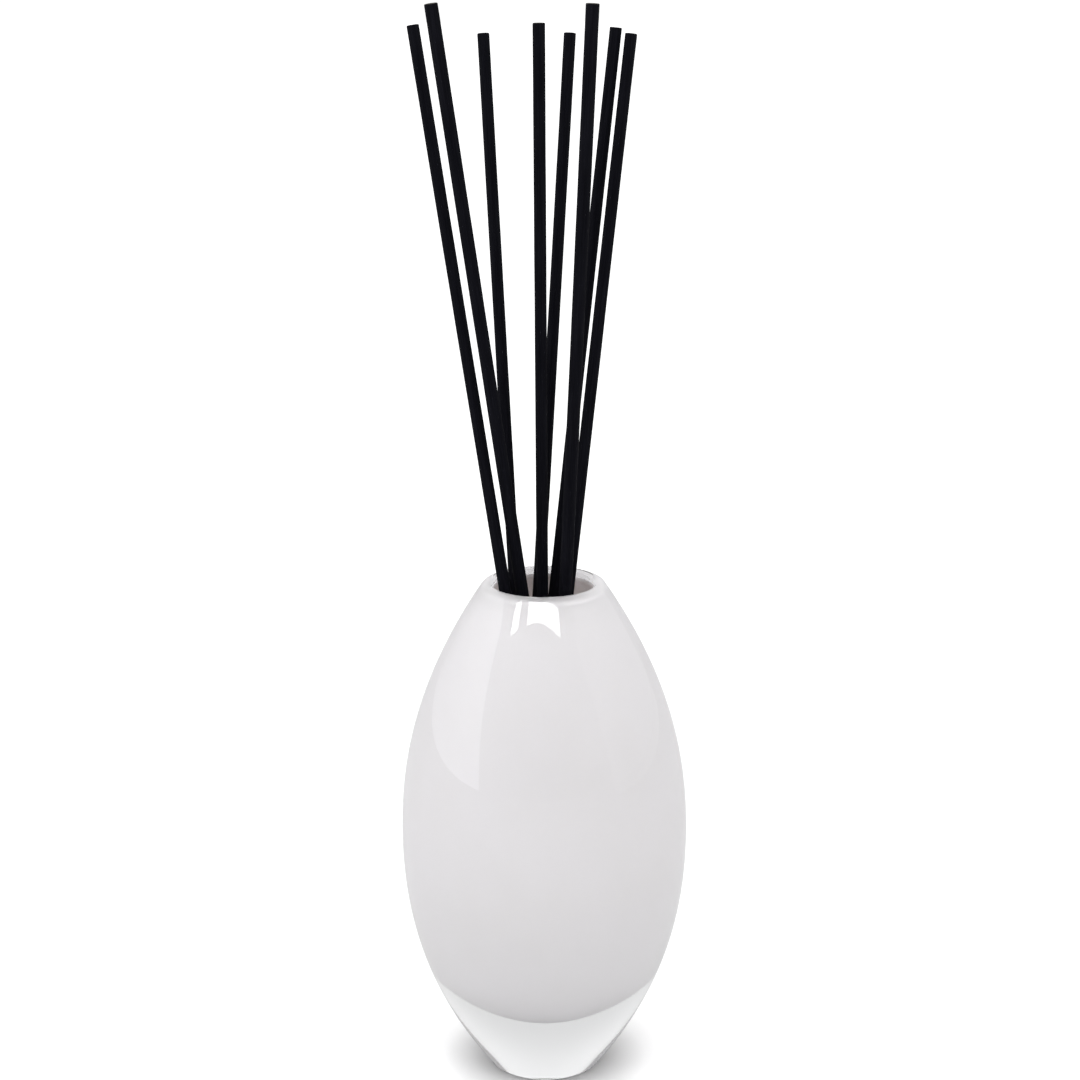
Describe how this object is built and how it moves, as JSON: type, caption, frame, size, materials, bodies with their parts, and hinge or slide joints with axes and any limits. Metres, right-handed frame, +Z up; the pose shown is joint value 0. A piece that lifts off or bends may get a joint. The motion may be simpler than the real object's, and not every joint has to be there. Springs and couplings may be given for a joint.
{
  "type": "reed diffuser",
  "caption": "Free-standing home-fragrance diffuser: an egg-shaped cased-glass vase that holds scented oil and a loose fan of straight fibre reeds.",
  "frame": {"origin": "centre of the flat ground foot, on the surface that the vase stands on", "axes": "+Z up along the vase's axis; -Y is the front, the side that the two stout reeds lean towards; +X to the right of the front"},
  "size_m": [0.11, 0.11, 0.4078],
  "materials": {
    "clear_glass": "polished clear glass",
    "opal_glass": "glossy white opal glass",
    "oil": "clear pale straw liquid",
    "reed": "matte black dyed fibre"
  },
  "bodies": {
    "vase": {"clear_glass_casing": "clear_glass", "opal_glass_lining": "opal_glass", "fragrance_oil": "oil"},
    "reed_1": {"reed_1": "reed"},
    "reed_2": {"reed_2": "reed"},
    "reed_3": {"reed_3": "reed"},
    "reed_4": {"reed_4": "reed"},
    "reed_5": {"reed_5": "reed"},
    "reed_6": {"reed_6": "reed"},
    "reed_7": {"reed_7": "reed"},
    "reed_8": {"reed_8": "reed"}
  },
  "joints": [
    {"name": "reed_1_lift", "type": "slide", "parent": "vase", "child": "reed_1", "axis": [-0.1519, 0.0829, 0.9849], "range_m": [0, 0.16]},
    {"name": "reed_2_lift", "type": "slide", "parent": "vase", "child": "reed_2", "axis": [-0.1381, -0.071, 0.9879], "range_m": [0, 0.163]},
    {"name": "reed_3_lift", "type": "slide", "parent": "vase", "child": "reed_3", "axis": [-0.051, 0.1226, 0.9911], "range_m": [0, 0.166]},
    {"name": "reed_4_lift", "type": "slide", "parent": "vase", "child": "reed_4", "axis": [-0.0027, -0.0261, 0.9997], "range_m": [0, 0.164]},
    {"name": "reed_5_lift", "type": "slide", "parent": "vase", "child": "reed_5", "axis": [0.0594, 0.1229, 0.9906], "range_m": [0, 0.165]},
    {"name": "reed_6_lift", "type": "slide", "parent": "vase", "child": "reed_6", "axis": [0.0442, -0.0402, 0.9982], "range_m": [0, 0.166]},
    {"name": "reed_7_lift", "type": "slide", "parent": "vase", "child": "reed_7", "axis": [0.1077, 0.0456, 0.9931], "range_m": [0, 0.163]},
    {"name": "reed_8_lift", "type": "slide", "parent": "vase", "child": "reed_8", "axis": [0.1122, 0.1011, 0.9885], "range_m": [0, 0.163]}
  ]
}
